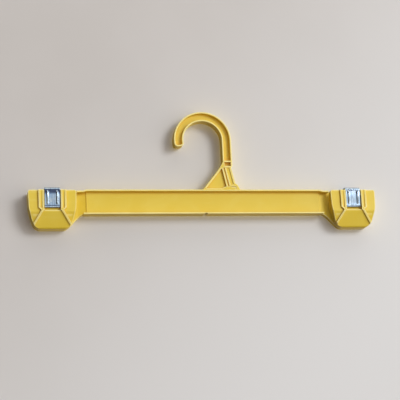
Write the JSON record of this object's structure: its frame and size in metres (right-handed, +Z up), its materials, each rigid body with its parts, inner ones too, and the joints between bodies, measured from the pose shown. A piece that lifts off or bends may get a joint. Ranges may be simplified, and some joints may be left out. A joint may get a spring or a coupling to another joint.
{
  "type": "clip hanger",
  "caption": "Slim moulded plastic hanger with an open hook, a flanged bar and a spring pinch clip at each end, for skirts, trousers or small clothes.",
  "frame": {"origin": "the point at the top of the hook's inside where it rests on a rod, in the middle of the hook's thickness", "axes": "+Z up with the hanger hanging, +X to the right along the bar seen from the front, -Y is the front, where the loose jaws are"},
  "size_m": [0.3, 0.0164, 0.1021],
  "materials": {
    "yellow_plastic": "golden yellow moulded plastic with a soft gloss",
    "spring_steel": "bright zinc-plated spring steel with a bluish tint"
  },
  "bodies": {
    "hanger": {"hanger_body": "yellow_plastic", "left_spring": "spring_steel", "right_spring": "spring_steel"},
    "left_front_jaw": {"left_jaw": "yellow_plastic"},
    "right_front_jaw": {"right_jaw": "yellow_plastic"}
  },
  "joints": [
    {"name": "left_clip_pivot", "type": "hinge", "parent": "hanger", "child": "left_front_jaw", "pos_m": [-0.13, -0.0001, -0.0711], "axis": [-1, 0, 0], "range_deg": [0, 18], "stiffness_Nm_per_rad": 0.35, "springref_deg": -25.78, "deforming": ["left_spring"]},
    {"name": "right_clip_pivot", "type": "hinge", "parent": "hanger", "child": "right_front_jaw", "pos_m": [0.13, -0.0001, -0.0711], "axis": [-1, 0, 0], "range_deg": [0, 18], "stiffness_Nm_per_rad": 0.35, "springref_deg": -25.78, "deforming": ["right_spring"]}
  ]
}
